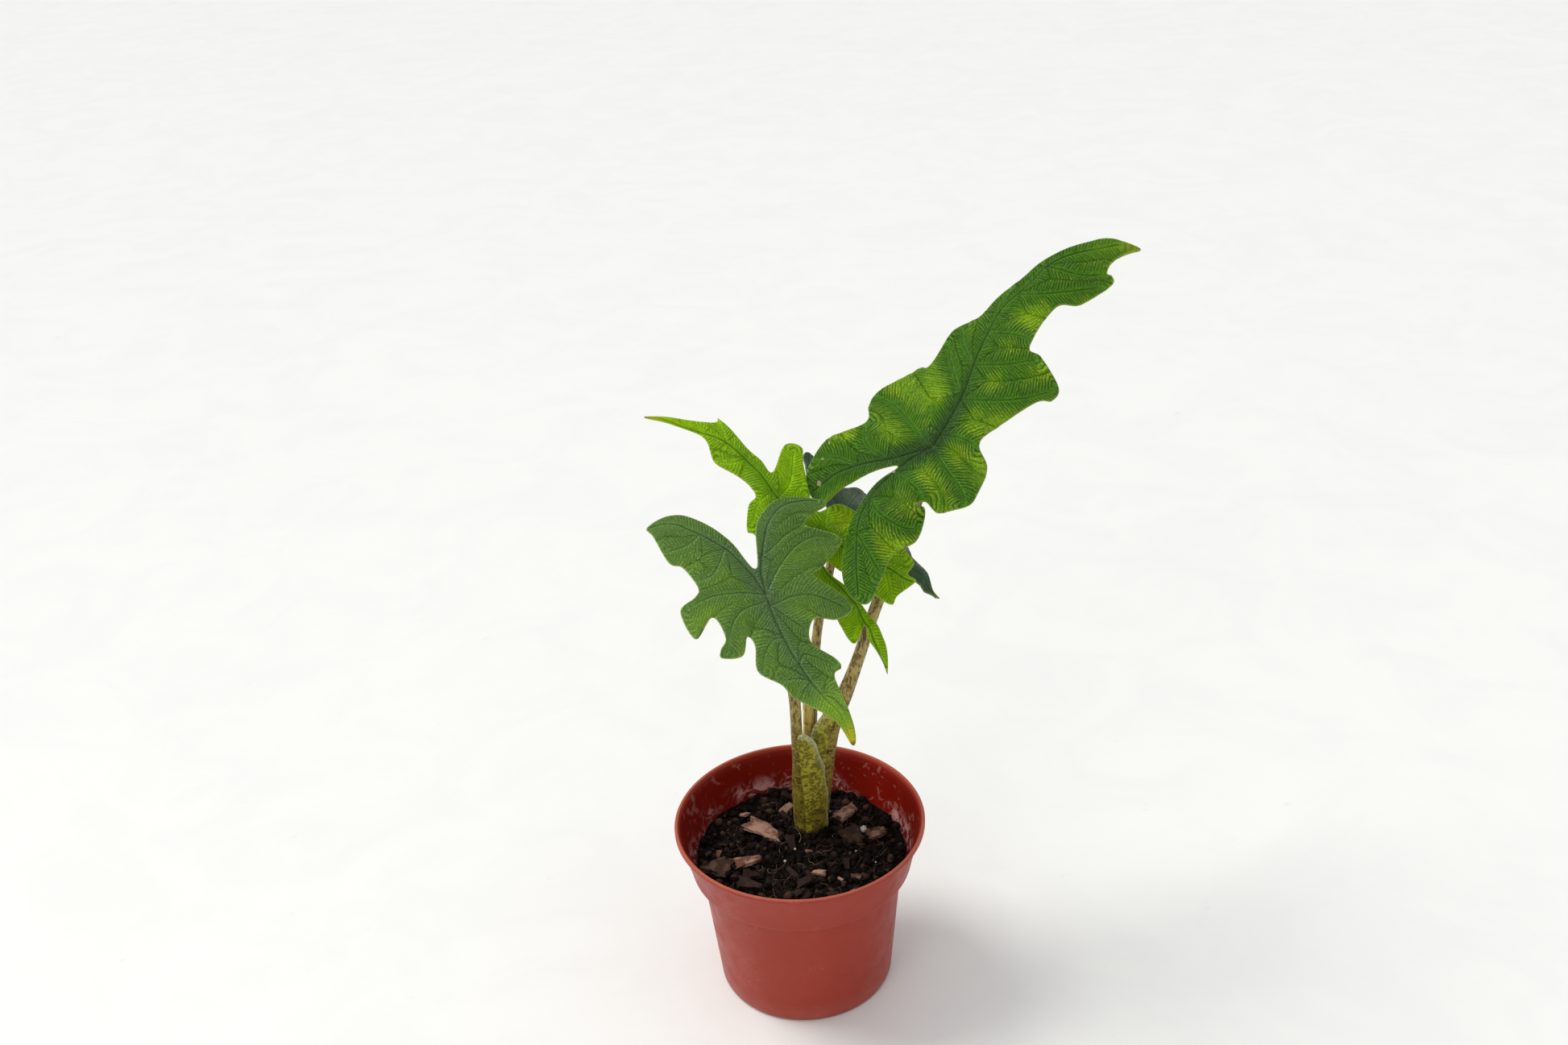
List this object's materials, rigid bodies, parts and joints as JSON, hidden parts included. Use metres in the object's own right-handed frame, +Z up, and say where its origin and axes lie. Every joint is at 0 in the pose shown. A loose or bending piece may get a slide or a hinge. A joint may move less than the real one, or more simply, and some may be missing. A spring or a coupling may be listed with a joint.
{
  "type": "potted plant",
  "caption": "Young alocasia with mottled stalks and large lobed green leaves, growing in a round tapered nursery pot with a collar.",
  "frame": {"origin": "middle of the pot's flat underside, where it stands", "axes": "+Z up along the pot's axis, -Y towards the side the leaves face, +X to the right seen from there"},
  "size_m": [0.2302, 0.1495, 0.3406],
  "materials": {
    "terracotta_plastic": "satin brick-red moulded plastic",
    "potting_mix": "damp, dark and crumbly",
    "corm_skin": "fibrous brown skin",
    "root_skin": "pale and fleshy",
    "pine_bark": "rough, dull",
    "perlite": "matt white, porous",
    "stalk_skin_a": "olive with brown snake-like mottling, satin",
    "stalk_skin_b": "olive with brown snake-like mottling, satin",
    "stalk_skin_c": "olive with brown snake-like mottling, satin",
    "stalk_skin_d": "olive with brown snake-like mottling, satin",
    "leaf_green_a": "green, veined, satin",
    "leaf_green_b": "green, veined, satin",
    "leaf_green_c": "green, veined, satin",
    "leaf_green_d": "green, veined, satin"
  },
  "bodies": {
    "root": {"bark_1": "pine_bark", "bark_2": "pine_bark", "bark_3": "pine_bark", "bark_4": "pine_bark", "bark_5": "pine_bark", "bark_6": "pine_bark", "bark_7": "pine_bark", "corm": "corm_skin", "leaf_a": "leaf_green_a", "leaf_b": "leaf_green_b", "leaf_c": "leaf_green_c", "leaf_d": "leaf_green_d", "perlite_1": "perlite", "perlite_2": "perlite", "perlite_3": "perlite", "petiole_a": "stalk_skin_a", "petiole_b": "stalk_skin_b", "petiole_c": "stalk_skin_c", "petiole_d": "stalk_skin_d", "pot": "terracotta_plastic", "potting_mix": "potting_mix", "root_1": "root_skin", "root_2": "root_skin", "root_3": "root_skin", "root_4": "root_skin", "root_5": "root_skin"}
  },
  "joints": []
}
